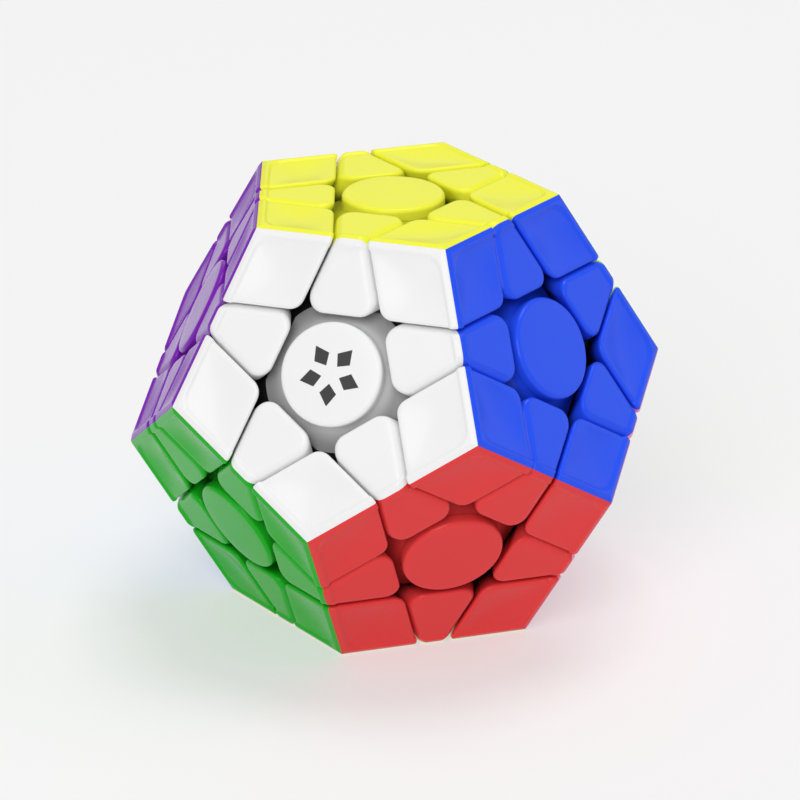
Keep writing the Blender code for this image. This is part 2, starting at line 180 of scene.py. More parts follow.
# ---- fineness ----
RIM_STEP = 0.00010
RIM_END = 0.0021
MIDDLE_STEP = 0.0005
FILLET_STEPS = 5
EDGE_COLUMNS = 12
ROUND_SIDES = 120
POST_SIDES = 32
SCREW_SIDES = 48
CAP_STEPS = 8
TOP_RINGS = (0.6, 0.3)  # shares of the cap's radius, for even shading of its flat top
DOME_STEPS = 8
FLANGE_STEPS = 6
FLARE_STEPS = 16
HEAD_STEPS = 4
BEVEL_STEPS = 2
BALL_SUBDIVISIONS = 5
CORE_SUBDIVISIONS = 4
SOLVER_STEPS = 40
COIL_POINTS = 36  # in each turn of a spring
WIRE_SIDES = 10
MERGE_DISTANCE = 1e-7
BOOLEAN_MERGE = 1e-6  # a Boolean leaves points closer than this along its seams
SMOOTH_ANGLE = math.radians(38)

# ---- angles and derived sizes ----
AXIS_ANGLE = math.atan(2)
FACE_TILT = math.atan(0.5)
FACE_CORNER = math.radians(108)
FIRST_SIDE = -90  # heading in degrees of the yellow face's side towards the white face
SIDE_TURN = 72  # degrees from one side of a face to the next
EDGE_LEAN = math.radians(18)  # of the cuts beside an edge, from its middle line
VERTEX_ANGLE = math.acos(math.sqrt((5 + 2 * math.sqrt(5)) / 15))
MITRE_LEAN = 1 / GOLDEN  # how far the plane between two colours leans in, per unit of depth
CUT_LEAN = 1 / math.tan(AXIS_ANGLE)  # how far a cut plane leans, per unit of depth
FACE_INRADIUS = EDGE_LENGTH / (2 * math.tan(math.pi / 5))
CUT_INSET = (EDGE_LENGTH - EDGE_PIECE_WIDTH) / 2 * math.sin(FACE_CORNER)
CUT_HEIGHT = FACE_HEIGHT - CUT_INSET * math.sin(AXIS_ANGLE)
FACE_GAP = PLANE_GAP / 2 / math.sin(AXIS_ANGLE)  # half of a gap, measured in the plane of a face
PANEL_WIDTH = CUT_INSET - FACE_GAP  # from a side of the face to the cut border parallel to it
CAP_RADIUS = FACE_INRADIUS - CUT_INSET - CAP_MARGIN
SKIRT_RADIUS = CAP_RADIUS + SKIRT_REACH
SHELL_RADIUS = (CUT_HEIGHT + CORNER_NECK * math.sin(VERTEX_ANGLE)) / math.cos(VERTEX_ANGLE)
FLANGE_RADIUS = SHELL_RADIUS + SHELL_GAP / 2
FOOT_RADIUS = SHELL_RADIUS - SHELL_GAP / 2
BASE_RADIUS = SHELL_RADIUS - FOOT_THICKNESS
DOME_RADIUS = BASE_RADIUS - BASE_GAP / 2
STEM_RADIUS = WELL_RADIUS + STEM_WALL
HUB_RADIUS = WELL_RADIUS + HUB_WALL
FOOT_HEIGHT = SHELL_RADIUS * math.cos(AXIS_ANGLE) + (STEM_RADIUS + PLANE_GAP) * math.sin(AXIS_ANGLE)
DEEPEST_WALL = FACE_HEIGHT / 3  # depth by which every wall has met the ball over the feet
WELL_TOP = FACE_HEIGHT - CAP_THICKNESS
HEAD_TOP = WELL_TOP - HEAD_CLEARANCE
HEAD_SEAT = HEAD_TOP - SCREW_HEAD_HEIGHT
SPRING_TOP = HEAD_SEAT - SEAT_GAP - SPRING_WIRE
SPRING_FOOT = SPRING_TOP - SPRING_LENGTH
WELL_FLOOR = SPRING_FOOT - SPRING_WIRE - SEAT_GAP
HUB_FOOT = WELL_FLOOR - HUB_FLOOR
POST_TOP = HUB_FOOT - SEAT_GAP

# ---- faces and their plastics, in linear red, green and blue ----
COLOURS = {
    "yellow": (0.89, 0.90, 0.052),
    "white": (0.84, 0.84, 0.84),
    "blue": (0.020, 0.085, 0.85),
    "light_green": (0.33, 0.76, 0.10),
    "orange": (0.93, 0.25, 0.02),
    "purple": (0.205, 0.014, 0.44),
    "cream": (0.86, 0.78, 0.46),
    "grey": (0.30, 0.31, 0.32),
    "light_blue": (0.10, 0.50, 0.86),
    "green": (0.010, 0.40, 0.014),
    "red": (0.72, 0.046, 0.048),
    "pink": (0.88, 0.28, 0.46),
}
UPPER_RING = ("white", "blue", "light_green", "orange", "purple")
OPPOSITE = {
    "yellow": "cream",
    "white": "grey",
    "blue": "light_blue",
    "light_green": "green",
    "orange": "red",
    "purple": "pink",
}
MODEL_FACES = ("yellow", "white", "blue")
BODY_OF = {node: body for body, nodes in frame["record"]["behaviour"]["bodies"].items() for node in nodes}


# ---- directions ----

def flat(heading):
    return Vector((math.cos(heading), math.sin(heading)))


def face_normals():
    normals = {"yellow": Vector((0, 0, 1))}
    for place, face in enumerate(UPPER_RING):
        level = flat(math.radians(FIRST_SIDE + SIDE_TURN * place)) * math.cos(FACE_TILT)
        normals[face] = Vector((level.x, level.y, math.sin(FACE_TILT)))
    for face, other in OPPOSITE.items():
        normals[other] = -normals[face]
    return normals


NORMALS = face_normals()


def are_neighbours(*faces):
    pairs = itertools.combinations(faces, 2)
    return all(math.isclose(NORMALS[one].dot(NORMALS[other]), math.cos(AXIS_ANGLE), abs_tol=1e-6)
               for one, other in pairs)


def neighbours_of(*faces):
    return [other for other in COLOURS if all(are_neighbours(other, face) for face in faces)]


def is_right_handed(one, two, three):
    return NORMALS[one].cross(NORMALS[two]).dot(NORMALS[three]) > 0


def completed(one, two):
    """Two neighbouring faces and the third that makes them right-handed."""
    return one, two, next(face for face in neighbours_of(one, two) if is_right_handed(one, two, face))


def placement(target):
    """The turn that carries the model faces to three right-handed target faces."""
    here = Matrix([NORMALS[face] for face in MODEL_FACES]).transposed()
    there = Matrix([NORMALS[face] for face in target]).transposed()
    return (there @ here.inverted()).to_4x4()


def centre_placement(face):
    return placement(completed(face, neighbours_of(face)[0]))


# ---- mesh helpers ----

def to_mesh(bm, name):
    bmesh.ops.remove_doubles(bm, verts=bm.verts, dist=MERGE_DISTANCE)
    bmesh.ops.recalc_face_normals(bm, faces=bm.faces)
    mesh = bpy.data.meshes.new(name)
    bm.to_mesh(mesh)
    bm.free()
    mesh.shade_smooth()
    mesh.set_sharp_from_angle(angle=SMOOTH_ANGLE)
    return mesh


def ball(radius, subdivisions=BALL_SUBDIVISIONS):
    bm = bmesh.new()
    bmesh.ops.create_icosphere(bm, subdivisions=subdivisions, radius=radius)
    return bm


def trim(bm, limits):
    """Cuts a convex solid back to where the height along each normal stays below its limit."""
    for normal, height in limits:
        everything = bm.verts[:] + bm.edges[:] + bm.faces[:]
        cut = bmesh.ops.bisect_plane(bm, geom=everything, plane_co=normal * height, plane_no=normal,
                                     clear_outer=True)
        rim = [part for part in cut["geom_cut"] if isinstance(part, bmesh.types.BMEdge)]
        if rim:
            bmesh.ops.edgeloop_fill(bm, edges=rim)
            bmesh.ops.remove_doubles(bm, verts=bm.verts, dist=BOOLEAN_MERGE)
    return bm


def combined(first, *steps, bevel=0):
    """The mesh left after a row of (operation, mesh) Booleans on the first one, bevelled if asked."""
    helpers = [bpy.data.objects.new(mesh.name, mesh) for mesh in [first, *(mesh for _, mesh in steps)]]
    for helper in helpers:
        bpy.context.collection.objects.link(helper)
    body = helpers[0]
    for (operation, _), tool in zip(steps, helpers[1:]):
        modifier = body.modifiers.new(operation, "BOOLEAN")
        modifier.operation = operation
        modifier.solver = "EXACT"
        modifier.object = tool
    if bevel:
        modifier = body.modifiers.new("bevel", "BEVEL")
        modifier.width = bevel
        modifier.segments = BEVEL_STEPS
        modifier.limit_method = "ANGLE"
        modifier.angle_limit = SMOOTH_ANGLE
    graph = bpy.context.evaluated_depsgraph_get()
    bm = bmesh.new()
    bm.from_object(body, graph)
    bmesh.ops.remove_doubles(bm, verts=bm.verts, dist=BOOLEAN_MERGE)
    for helper in helpers:
        bpy.data.objects.remove(helper)
    return to_mesh(bm, first.name)


def smooth_step(x):
    x = min(1, max(0, x))
    return x * x * (3 - 2 * x)


def smooth_min(one, other, blend):
    nearness = max(blend - abs(one - other), 0) / blend
    return min(one, other) - nearness**2 * blend / 4


# ---- shells: one colour of a corner or an edge ----

def fillet_depth(distance):
    """Drop of a rounded border at this distance from it."""
    if distance >= FILLET:
        return 0
    return FILLET - math.sqrt(FILLET**2 - (FILLET - distance)**2)


def rim_depth(sharp, soft):
    """Drop of the rim and the panel, where sharp is the distance to the face's side, and soft is the same
    distance with its corner rounded."""
    ridge_reach = RIDGE_RADIUS * MITRE_LEAN
    ridge = max(0, ridge_reach - sharp)**2 / (2 * RIDGE_RADIUS)
    band = BAND_DROP * max(0, 1 - sharp / BAND_WIDTH)
    return ridge + band + PANEL_DROP * smooth_step((soft - CREASE_START) / CREASE_WIDTH)


def offsets():
    """Distances of the mesh's lines from a side of the face, close over the rim and the fillet."""
    rim = [RIM_STEP * step for step in range(round(RIM_END / RIM_STEP))]
    border = [PANEL_WIDTH - FILLET * (1 - math.sin(math.pi / 2 * step / FILLET_STEPS))
              for step in range(FILLET_STEPS + 1)]
    count = round((border[0] - RIM_END) / MIDDLE_STEP)
    middle = [RIM_END + (border[0] - RIM_END) * step / count for step in range(count)]
    return rim + middle + border


def rounded(point, normals, distances, radius):
    """Moves a point near the corner of two borders so that lines along the borders go round it in arcs.

    normals point inwards from the borders, and distances are the point's own to each border."""
    near, far = sorted((0, 1), key=lambda side: distances[side])
    turn = normals[0].angle(normals[1])
    cosine = math.cos(turn)
    ring, along = distances[near], distances[far]
    reach = radius - (radius - ring) * cosine
    if ring >= radius or along >= reach:
        return point
    swing = turn / 2 * (1 - (along - ring) / (reach - ring))
    outward = -(normals[near] * math.sin(turn - swing) + normals[far] * math.sin(swing)) / math.sin(turn)
    short = [radius - distance for distance in distances]
    middle = point
    for side in (0, 1):
        middle = middle + normals[side] * (short[side] - cosine * short[1 - side]) / (1 - cosine**2)
    return middle + outward * (radius - ring)


def corner_point(across, along, depth):
    """A point of the yellow shell of the model corner, at distances from the white and the blue side."""
    low = MITRE_LEAN * depth
    high = PANEL_WIDTH - CUT_LEAN * depth
    one = low + across / PANEL_WIDTH * (high - low)
    other = low + along / PANEL_WIDTH * (high - low)
    sides = (FIRST_SIDE, FIRST_SIDE + SIDE_TURN)
    inwards = [flat(math.radians(side + 180)) for side in sides]
    cosine = inwards[0].dot(inwards[1])
    vertex = flat(math.radians(sum(sides) / 2)) * FACE_INRADIUS / math.cos(math.pi / 5)
    point = vertex + inwards[0] * (one - cosine * other) / (1 - cosine**2)
    point = point + inwards[1] * (other - cosine * one) / (1 - cosine**2)
    point = rounded(point, (-inwards[0], -inwards[1]), (high - one, high - other), TIP_RADIUS)
    return Vector((point.x, point.y, FACE_HEIGHT - depth))


def bowl(across):
    """Share of the dish's depth, 1 half way between the crease and the fillet and 0 at both."""
    start = CREASE_START + CREASE_WIDTH
    share = min(1, max(0, (across - start) / (PANEL_WIDTH - FILLET - start)))
    return 4 * share * (1 - share)


def corner_depth(across, along):
    soft = smooth_min(across, along, CREASE_ROUND)
    border = min(PANEL_WIDTH - across, PANEL_WIDTH - along)
    dish = DISH_DROP * bowl(across) * bowl(along)
    return rim_depth(min(across, along), soft) + fillet_depth(border) + dish


def edge_half_width(across, depth):
    """From the middle of the model edge to its cut border, at this distance from the white side."""
    border = FACE_INRADIUS - CUT_INSET - FACE_GAP + CUT_LEAN * depth
    return (border - (FACE_INRADIUS - across) * math.sin(EDGE_LEAN)) / math.cos(EDGE_LEAN)


def edge_point(across, column, depth):
    """A point of the yellow shell of the model edge.

    column is (side, distance from that side's border) near a border, or (0, share of the way from the middle).
    """
    low = MITRE_LEAN * depth
    high = PANEL_WIDTH - CUT_LEAN * depth
    inward = low + across / PANEL_WIDTH * (high - low)
    half = edge_half_width(inward, depth)
    side, place = column
    if side:
        x = side * (half - place / math.cos(EDGE_LEAN))
    else:
        x = place * (half - FILLET / math.cos(EDGE_LEAN))
    point = Vector((x, inward - FACE_INRADIUS))
    hand = math.copysign(1, x)
    border = (half - abs(x)) * math.cos(EDGE_LEAN)
    borders = (Vector((0, -1)), Vector((-hand * math.cos(EDGE_LEAN), math.sin(EDGE_LEAN))))
    point = rounded(point, borders, (high - inward, border), END_RADIUS)
    return Vector((point.x, point.y, FACE_HEIGHT - depth))


def edge_depth(across, column):
    side, place = column
    border = place if side else FILLET
    return rim_depth(across, across) + fillet_depth(min(border, PANEL_WIDTH - across))


def on_flange(point, across, along, depth):
    """Where the wall under a border point meets the ball over the feet."""
    low, high = depth, DEEPEST_WALL
    for _ in range(SOLVER_STEPS):
        middle = (low + high) / 2
        if point(across, along, middle).length > FLANGE_RADIUS:
            low = middle
        else:
            high = middle
    return point(across, along, high)


def shell(name, rows, columns, point, depth):
    """A closed shell: its moulded face, its walls down to the ball over the feet, and its underside."""
    bm = bmesh.new()
    grid = [[bm.verts.new(point(row, column, depth(row, column))) for column in columns] for row in rows]
    for i, j in itertools.product(range(len(rows) - 1), range(len(columns) - 1)):
        bm.faces.new((grid[i][j], grid[i][j + 1], grid[i + 1][j + 1], grid[i + 1][j]))
    last_row, last_column = len(rows) - 1, len(columns) - 1
    loop = [(0, j) for j in range(last_column)] + [(i, last_column) for i in range(last_row)]
    loop += [(last_row, j) for j in range(last_column, 0, -1)] + [(i, 0) for i in range(last_row, 0, -1)]
    feet = []
    for i, j in loop:
        start = depth(rows[i], columns[j])
        feet.append(bm.verts.new(on_flange(point, rows[i], columns[j], start)))
    middle = sum((foot.co for foot in feet), Vector()) / len(feet)
    under = bm.verts.new(middle.normalized() * FLANGE_RADIUS)
    for place, (i, j) in enumerate(loop):
        after = (place + 1) % len(loop)
        following = grid[loop[after][0]][loop[after][1]]
        bm.faces.new((following, grid[i][j], feet[place], feet[after]))
        bm.faces.new((feet[after], feet[place], under))
    return to_mesh(bm, name)


def edge_columns():
    """The lines of an edge's mesh, from its left border to its right one."""
    border = [FILLET * (1 - math.cos(math.pi / 2 * step / FILLET_STEPS)) for step in range(FILLET_STEPS)]
    left = [(-1, distance) for distance in border]
    middle = [(0, -1 + 2 * step / EDGE_COLUMNS) for step in range(EDGE_COLUMNS + 1)]
    right = [(1, distance) for distance in reversed(border)]
    return left + middle + right


# ---- feet ----

def foot(inside, name):
    """The neck and the foot under a corner or an edge."""
    beside = {other for face in inside for other in neighbours_of(face)}
    outside = [face for face in COLOURS if face in beside and face not in inside]

    def limits(height, margin):
        kept = [(-NORMALS[face], -(height + margin)) for face in inside]
        return kept + [(NORMALS[face], height - margin) for face in outside]

    gap = PLANE_GAP / 2
    neck_gap = gap + NECK_STEP
    neck = trim(ball(FLANGE_RADIUS), limits(CUT_HEIGHT, neck_gap) + limits(FOOT_HEIGHT, neck_gap))
    base = trim(ball(FOOT_RADIUS), limits(FOOT_HEIGHT, gap))
    base_ball = ball(BASE_RADIUS + BASE_GAP / 2)
    return combined(to_mesh(base, name), ("DIFFERENCE", to_mesh(base_ball, "base_ball")),
                    ("UNION", to_mesh(neck, "neck")), bevel=FOOT_BEVEL)


# ---- centres ----

def prism(bm, outline, low, high):
    """Adds a closed prism with this outline between two heights."""
    bottom = [bm.verts.new((point.x, point.y, low)) for point in outline]
    top = [bm.verts.new((point.x, point.y, high)) for point in outline]
    bm.faces.new(bottom[::-1])
    bm.faces.new(top)
    for here in range(len(outline)):
        after = (here + 1) % len(outline)
        bm.faces.new((bottom[here], bottom[after], top[after], top[here]))


def turned(profile, name, sides=ROUND_SIDES, limit=None, closed=False):
    """An outline of (radius, height) points turned about Z. limit(angle, height) caps the radius."""
    bm = bmesh.new()
    rings = []
    for side in range(sides):
        angle = 2 * math.pi * side / sides
        ring = []
        for radius, height in profile:
            if limit:
                radius = min(radius, limit(angle, height))
            ring.append(bm.verts.new((radius * math.cos(angle), radius * math.sin(angle), height)))
        rings.append(ring)
    spans = range(len(profile) if closed else len(profile) - 1)
    for here, there in zip(rings, rings[1:] + rings[:1]):
        for k in spans:
            after = (k + 1) % len(profile)
            bm.faces.new((here[k], there[k], there[after], here[after]))
    bmesh.ops.remove_doubles(bm, verts=bm.verts, dist=MERGE_DISTANCE)
    return to_mesh(bm, name)


def arc(centre, radius, start, end, steps):
    """Points on an arc of a profile, with angles in degrees from the outward direction."""
    angles = [math.radians(start + (end - start) * step / steps) for step in range(steps + 1)]
    across, up = centre
    return [(across + radius * math.cos(angle), up + radius * math.sin(angle)) for angle in angles]


def on_ball(radius, start, end, steps):
    """Points of a profile on a ball, with angles from the axis."""
    angles = [start + (end - start) * step / steps for step in range(steps + 1)]
    return [(radius * math.sin(angle), radius * math.cos(angle)) for angle in angles]


def cap():
    """The round cap of the yellow centre, which clips over its screw."""
    top = FACE_HEIGHT - CAP_DROP
    under = top - CAP_FILLET - CAP_SIDE
    inner = CAP_RADIUS - 2 * CAP_SEAM
    inside = [(0, WELL_TOP), (WELL_RADIUS, WELL_TOP), (inner, WELL_TOP), (inner, under)]
    seam = [(CAP_RADIUS - CAP_SEAM, under), (CAP_RADIUS, under + CAP_SEAM)]
    edge = arc((CAP_RADIUS - CAP_FILLET, top - CAP_FILLET), CAP_FILLET, 0, 90, CAP_STEPS)
    flat_top = [(share * CAP_RADIUS, top) for share in TOP_RINGS]
    return turned(inside + seam + edge + flat_top + [(0, top)], "cap")


def centre_body():
    """The body of the yellow centre: skirt, stem, domed base and hub, with the well and the bore."""
    bore = SCREW_RADIUS + RUNNING_CLEARANCE
    widest = AXIS_ANGLE / 2 - PLANE_GAP / DOME_RADIUS
    rim = DOME_RADIUS - BASE_RIM
    under = rim * math.cos(widest)
    hub = [(bore, HUB_FOOT), (HUB_RADIUS, HUB_FOOT), (HUB_RADIUS, under - 2 * BASE_RIM),
           (HUB_RADIUS + BASE_RIM, under - BASE_RIM), (rim * math.sin(widest), under)]
    dome = on_ball(DOME_RADIUS, widest, math.asin(STEM_RADIUS / DOME_RADIUS), DOME_STEPS)
    flange_end = math.asin(SKIRT_RADIUS / FLANGE_RADIUS)
    flange = on_ball(FLANGE_RADIUS, math.asin(STEM_RADIUS / FLANGE_RADIUS), flange_end, FLANGE_STEPS)
    rim_foot = flange[-1][1]
    top = FACE_HEIGHT - CAP_DROP - CAP_FILLET - CAP_SIDE - CAP_SEAM
    flare = []
    for step in range(FLARE_STEPS + 1):
        angle = math.pi / 2 * step / FLARE_STEPS
        flare.append((SKIRT_RADIUS - (SKIRT_REACH + CAP_SEAM) * math.sin(angle),
                      top - (top - rim_foot - SKIRT_RIM) * math.cos(angle)))
    seat = CAP_RADIUS - 4 * CAP_SEAM
    well = [(seat, top), (seat, WELL_TOP - CAP_SEAM), (WELL_RADIUS, WELL_TOP - CAP_SEAM),
            (WELL_RADIUS, WELL_FLOOR), (bore, WELL_FLOOR)]
    cut = FACE_INRADIUS - CUT_INSET - FACE_GAP

    def inside_cuts(angle, height):
        if height < rim_foot - SKIRT_RIM:
            return 1
        swing = (angle + math.pi / 2 + math.pi / 5) % math.radians(SIDE_TURN) - math.pi / 5
        return (cut + CUT_LEAN * (FACE_HEIGHT - height)) / math.cos(swing)

    return turned(hub + dome + flange + flare + well, "centre_body", limit=inside_cuts, closed=True)


def emblem():
    """A ring of kites, printed on the white cap."""
    bm = bmesh.new()
    top = FACE_HEIGHT - CAP_DROP
    for kite in range(KITES):
        heading = math.radians(90 + 360 / KITES * kite)
        sides = [flat(heading + turn) * PRINT_RADIUS * KITE_WIDEST for turn in (-KITE_SPREAD, KITE_SPREAD)]
        inner = flat(heading) * PRINT_RADIUS * KITE_START
        outer = flat(heading) * PRINT_RADIUS
        prism(bm, [inner, sides[0], outer, sides[1]], top - PRINT_HEIGHT, top + PRINT_HEIGHT)
    return to_mesh(bm, "emblem")


# ---- core, screws and springs ----

def core():
    """The core: a ball with twelve posts, each with a screw hole."""
    post_foot = math.sqrt(CORE_RADIUS**2 - POST_RADIUS**2) - JOIN_OVERLAP
    post = rod(POST_RADIUS, post_foot, POST_TOP, "post")
    hole = rod(SCREW_RADIUS + SEAT_GAP, SCREW_TIP_HEIGHT - SEAT_GAP, POST_TOP + JOIN_OVERLAP, "hole")
    middle = to_mesh(ball(CORE_RADIUS, CORE_SUBDIVISIONS), "core")
    return combined(middle, ("UNION", copies(post)), ("DIFFERENCE", copies(hole)))


def rod(radius, low, high, name):
    """A plain round rod along the yellow axis."""
    return turned([(0, low), (radius, low), (radius, high), (0, high)], name, POST_SIDES)


def copies(mesh):
    """One mesh of twelve copies, one turned to each face."""
    bm = bmesh.new()
    for face in COLOURS:
        copy = mesh.copy()
        copy.transform(centre_placement(face))
        bm.from_mesh(copy)
    return to_mesh(bm, mesh.name)


def screw():
    """The screw of the yellow centre, with rings for its thread and a cross recess."""
    tip = [(0, SCREW_TIP_HEIGHT), (SCREW_RADIUS * TIP_SHARE, SCREW_TIP_HEIGHT)]
    thread = []
    for ring in range(int((POST_TOP - SCREW_TIP_HEIGHT) / THREAD_PITCH)):
        start = SCREW_TIP_HEIGHT + THREAD_PITCH * (ring + THREAD_FLAT)
        thread.append((SCREW_RADIUS * THREAD_ROOT, start))
        thread.append((SCREW_RADIUS, start + THREAD_PITCH * THREAD_RISE))
    shank = [(SCREW_RADIUS, POST_TOP), (SCREW_RADIUS, HEAD_SEAT), (SCREW_HEAD_RADIUS, HEAD_SEAT)]
    middle = (SCREW_HEAD_RADIUS - HEAD_FILLET, HEAD_TOP - HEAD_FILLET)
    head = arc(middle, HEAD_FILLET, 0, 90, HEAD_STEPS) + [(0, HEAD_TOP)]
    shape = turned(tip + thread + shank + head, "screw", SCREW_SIDES)
    return combined(shape, ("DIFFERENCE", recess()))


def recess():
    """The cross recess in the head, as one prism with a plus sign for its outline."""
    near, far = RECESS_WIDTH / 2, SCREW_HEAD_RADIUS / 2
    quarter = [Vector((far, -near)), Vector((far, near)), Vector((near, near))]
    turns = [Matrix.Rotation(quarters * math.pi / 2, 2) for quarters in range(4)]
    outline = [turn @ point for turn in turns for point in quarter]
    bm = bmesh.new()
    prism(bm, outline, HEAD_TOP - RECESS_DEPTH, HEAD_TOP + RECESS_DEPTH)
    return to_mesh(bm, "recess")


def spring_height(turns):
    """Height of the wire after this many turns: close-wound in the first and the last one, open between."""
    closed = 2 * SPRING_WIRE + COIL_GAP
    open_turns = SPRING_TURNS - 2
    open_pitch = (SPRING_LENGTH - 2 * closed) / open_turns
    closed_part = min(turns, 1) + max(turns - 1 - open_turns, 0)
    return SPRING_FOOT + closed * closed_part + open_pitch * min(max(turns - 1, 0), open_turns)


def spring():
    """The spring of the yellow centre: rings of the wire's section along a helix."""
    bm = bmesh.new()
    rings = []
    for step in range(SPRING_TURNS * COIL_POINTS + 1):
        turns = step / COIL_POINTS
        out = flat(2 * math.pi * turns)
        ring = []
        for side in range(WIRE_SIDES):
            angle = 2 * math.pi * side / WIRE_SIDES
            level = out * (SPRING_RADIUS + SPRING_WIRE * math.cos(angle))
            height = spring_height(turns) + SPRING_WIRE * math.sin(angle)
            ring.append(bm.verts.new((level.x, level.y, height)))
        rings.append(ring)
    for here, there in zip(rings, rings[1:]):
        for side in range(WIRE_SIDES):
            after = (side + 1) % WIRE_SIDES
            bm.faces.new((here[side], here[after], there[after], there[side]))
    bm.faces.new(rings[0])
    bm.faces.new(rings[-1])
    return to_mesh(bm, "spring")


# ---- materials ----

def new_material(name):
    material = bpy.data.materials.new(name)
    material.use_nodes = True
    return material, material.node_tree, material.node_tree.nodes["Principled BSDF"]


def noise(tree, scale, detail=NOISE_DETAIL):
    """A noise texture in the piece's own coordinates."""
    coordinates = tree.nodes.new("ShaderNodeTexCoord")
    texture = tree.nodes.new("ShaderNodeTexNoise")
    texture.inputs["Scale"].default_value = scale
    texture.inputs["Detail"].default_value = detail
    tree.links.new(coordinates.outputs["Object"], texture.inputs["Vector"])
    return texture.outputs["Fac"]


def spread(tree, value, low, high):
    """The value's middle range, spread between two numbers."""
    remap = tree.nodes.new("ShaderNodeMapRange")
    remap.inputs["From Min"].default_value = NOISE_LOW
    remap.inputs["From Max"].default_value = NOISE_HIGH
    remap.inputs["To Min"].default_value = low
    remap.inputs["To Max"].default_value = high
    tree.links.new(value, remap.inputs["Value"])
    return remap.outputs["Result"]


def bump(tree, height, strength):
    node = tree.nodes.new("ShaderNodeBump")
    node.inputs["Distance"].default_value = GRAIN_HEIGHT
    node.inputs["Strength"].default_value = strength
    tree.links.new(height, node.inputs["Height"])
    return node.outputs["Normal"]


def tinted(tree, value, colour, change):
    """The colour, a little darker and lighter with the value."""
    mix = tree.nodes.new("ShaderNodeMix")
    mix.data_type = "RGBA"
    dark = [channel * (1 - change) for channel in colour]
    light = [min(1, channel * (1 + change)) for channel in colour]
    mix.inputs["A"].default_value = (*dark, 1)
    mix.inputs["B"].default_value = (*light, 1)
    tree.links.new(value, mix.inputs["Factor"])
    return mix.outputs["Result"]


def shaded(tree, colour, normal):
    """Painted shade: the colour, darker the deeper a point lies below its face's plane, where shade falls in
    the gaps and under the cap.
    """
    coordinates = tree.nodes.new("ShaderNodeTexCoord")
    height = tree.nodes.new("ShaderNodeVectorMath")
    height.operation = "DOT_PRODUCT"
    height.inputs[1].default_value = normal
    tree.links.new(coordinates.outputs["Object"], height.inputs[0])
    depth = tree.nodes.new("ShaderNodeMapRange")
    depth.interpolation_type = "SMOOTHSTEP"
    depth.inputs["From Min"].default_value = FACE_HEIGHT - SHADE_END
    depth.inputs["From Max"].default_value = FACE_HEIGHT - SHADE_START
    tree.links.new(height.outputs["Value"], depth.inputs["Value"])
    mix = tree.nodes.new("ShaderNodeMix")
    mix.data_type = "RGBA"
    mix.blend_type = "MULTIPLY"
    mix.inputs["Factor"].default_value = 1
    ramp = tree.nodes.new("ShaderNodeValToRGB")
    ramp.color_ramp.elements[0].color = (SHADE_LEAST, SHADE_LEAST, SHADE_LEAST, 1)
    tree.links.new(depth.outputs["Result"], ramp.inputs["Fac"])
    tree.links.new(colour, mix.inputs["A"])
    tree.links.new(ramp.outputs["Color"], mix.inputs["B"])
    return mix.outputs["Result"]


def moulded(name, colour, rough, grain, normal=None, specular=PLAIN_SPECULAR):
    """Moulded plastic: a faint cloud in its colour, a fine spark-eroded grain, uneven gloss, and, where a
    face's normal is given, painted shade that darkens the colour below the face's plane.
    """
    material, tree, shader = new_material(name)
    shade = tinted(tree, noise(tree, CLOUD_SCALE), colour, CLOUD_CHANGE)
    # painted shade: the colour darkens deeper in the gaps and under the cap
    if normal:
        shade = shaded(tree, shade, normal)
    gloss = spread(tree, noise(tree, GLOSS_SCALE), rough - GLOSS_CHANGE, rough + GLOSS_CHANGE)
    relief = bump(tree, noise(tree, GRAIN_SCALE, GRAIN_DETAIL), grain)
    tree.links.new(shade, shader.inputs["Base Color"])
    tree.links.new(gloss, shader.inputs["Roughness"])
    tree.links.new(relief, shader.inputs["Normal"])
    shader.inputs["Specular IOR Level"].default_value = specular
    return material


def metal(name, colour, rough):
    """Plated steel with fine turning marks."""
    material, tree, shader = new_material(name)
    shade = tinted(tree, noise(tree, STEEL_CLOUD_SCALE), colour, STEEL_CLOUD_CHANGE)
    marks = noise(tree, STEEL_GLOSS_SCALE)
    gloss = spread(tree, marks, rough - STEEL_GLOSS_CHANGE, rough + STEEL_GLOSS_CHANGE)
    tree.links.new(shade, shader.inputs["Base Color"])
    tree.links.new(gloss, shader.inputs["Roughness"])
    shader.inputs["Metallic"].default_value = 1
    return material


# ---- placing the pieces ----

def show(name, mesh, place, material, body, nodes=()):
    """Adds a piece in its place, riding on its body. The turn goes into the mesh, so that its box is true."""
    own = mesh.copy()
    own.transform(place)
    own.materials.clear()
    own.materials.append(material)
    piece = bpy.data.objects.new(name, own)
    bpy.context.collection.objects.link(piece)
    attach(piece, body)
    if nodes:
        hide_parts(*nodes)


def outer_piece(node, faces, shell_mesh, foot_mesh, plastics, dark):
    """Shows a corner or an edge: a shell in each colour over a foot."""
    body = BODY_OF[node]
    turns = [completed(one, other) for one, other in itertools.permutations(faces, 2)]
    turns = [turn for turn in turns if set(faces) <= set(turn)]
    for turn in turns:
        face = turn[0]
        show(f"{node}.{face}_shell", shell_mesh, placement(turn), plastics[face], body)
    show(node + ".foot", foot_mesh, placement(turns[0]), dark, body, [node])


def outer_pieces(plastics, dark):
    rows = offsets()
    edge_shell = shell("edge_shell", rows, edge_columns(), edge_point, edge_depth)
    edge_foot = foot(MODEL_FACES[:2], "edge_foot")
    corner_shell = shell("corner_shell", rows, rows, corner_point, corner_depth)
    corner_foot = foot(MODEL_FACES, "corner_foot")
    kinds = (("corner_", 3, corner_shell, corner_foot), ("edge_", 2, edge_shell, edge_foot))
    for kind, count, shell_mesh, foot_mesh in kinds:
        for faces in itertools.combinations(COLOURS, count):
            if are_neighbours(*faces):
                outer_piece(kind + "_".join(faces), faces, shell_mesh, foot_mesh, plastics, dark)


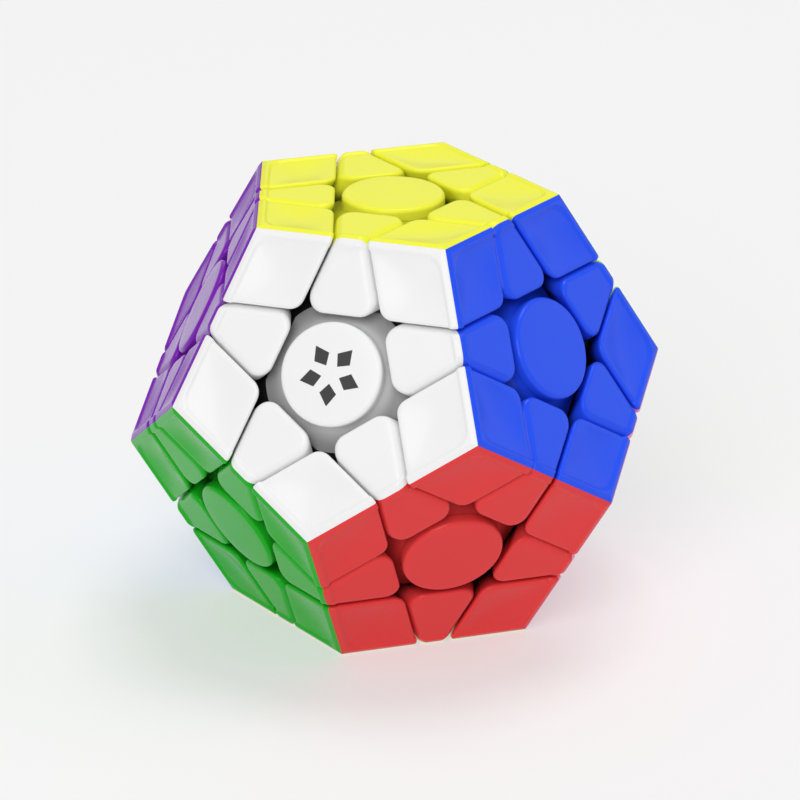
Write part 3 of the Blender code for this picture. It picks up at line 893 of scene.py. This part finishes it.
def centres(plastics, dark, steel):
    shapes = {"cap": cap(), "body": centre_body(), "screw": screw(), "spring": spring()}
    for face in COLOURS:
        place = centre_placement(face)
        node = "centre_" + face
        body = BODY_OF.get(node, "core")
        show(node + ".cap", shapes["cap"], place, plastics[face], body)
        show(node + ".body", shapes["body"], place, plastics[face], body, own_node(node))
        for part in ("screw", "spring"):
            node = f"{part}_{face}"
            show(node + ".fine", shapes[part], place, steel, "core", own_node(node))
    upright = Matrix.Identity(4)
    show("core.frame", core(), upright, dark, "core", ["core_with_fixed_centres"])


def own_node(name):
    """The CAD node with this name in a list, which is empty where the core stands for it."""
    return [name] if name in BODY_OF else []


def backdrop():
    """A pale floor, far wider than the view."""
    bpy.ops.mesh.primitive_plane_add(size=FLOOR_SIZE, location=(0, 0, -FACE_HEIGHT - FLOOR_SINK))
    floor = bpy.context.object
    floor.name = "floor"
    material, _, shader = new_material("floor")
    shader.inputs["Base Color"].default_value = (FLOOR_TONE, FLOOR_TONE, FLOOR_TONE, 1)
    shader.inputs["Emission Color"].default_value = (1, 1, 1, 1)
    shader.inputs["Emission Strength"].default_value = FLOOR_GLOW
    shader.inputs["Roughness"].default_value = FLOOR_ROUGHNESS
    shader.inputs["Specular IOR Level"].default_value = FLOOR_SPECULAR
    floor.data.materials.append(material)


def aimed(azimuth, elevation, offset, distance):
    """The placement of a lamp or camera that looks at the origin, then moved aside by an offset."""
    turn = Matrix.Rotation(azimuth, 4, "Z") @ Matrix.Rotation(math.pi / 2 - elevation, 4, "X")
    return turn @ Matrix.Translation((*offset, distance))


def area_light(name, azimuth, elevation, size, power):
    light = bpy.data.lights.new(name, "AREA")
    light.shape = "DISK"
    light.size = size
    light.energy = power
    lamp = bpy.data.objects.new(name, light)
    bpy.context.collection.objects.link(lamp)
    lamp.matrix_world = aimed(math.radians(azimuth), math.radians(elevation), (0, 0), LIGHT_DISTANCE)


def lights():
    world = bpy.data.worlds.new("world")
    bpy.context.scene.world = world
    world.use_nodes = True
    background = world.node_tree.nodes["Background"]
    background.inputs["Color"].default_value = (1, 1, 1, 1)
    background.inputs["Strength"].default_value = WORLD_STRENGTH
    for name, values in LIGHTS.items():
        area_light(name, *values)


def camera():
    """The camera at the photograph's viewing angle."""
    lens = bpy.data.cameras.new("camera")
    lens.lens = CAMERA_LENS
    lens.sensor_width = SENSOR_WIDTH
    lens.clip_end = CLIP_END
    view = bpy.data.objects.new("camera", lens)
    bpy.context.collection.objects.link(view)
    view.matrix_world = aimed(CAMERA_AZIMUTH, CAMERA_ELEVATION, CAMERA_OFFSET, CAMERA_DISTANCE)
    bpy.context.scene.camera = view


def main():
    bpy.context.scene.view_settings.view_transform = "Standard"
    plastics = {}
    for face, colour in COLOURS.items():
        # each face's normal sets where its painted shade falls, darker below the face's plane
        plastics[face] = moulded("plastic_" + face, colour, FACE_ROUGHNESS, FACE_GRAIN, NORMALS[face],
                                 FACE_SPECULAR)
    dark = moulded("inner_plastic", INNER_COLOUR, INNER_ROUGHNESS, INNER_GRAIN)
    steel = metal("steel", STEEL_COLOUR, STEEL_ROUGHNESS)
    outer_pieces(plastics, dark)
    centres(plastics, dark, steel)
    ink = moulded("print", INK_COLOUR, INK_ROUGHNESS, INK_GRAIN)
    show("centre_white.emblem", emblem(), centre_placement("white"), ink, "core")
    backdrop()
    lights()
    camera()


main()
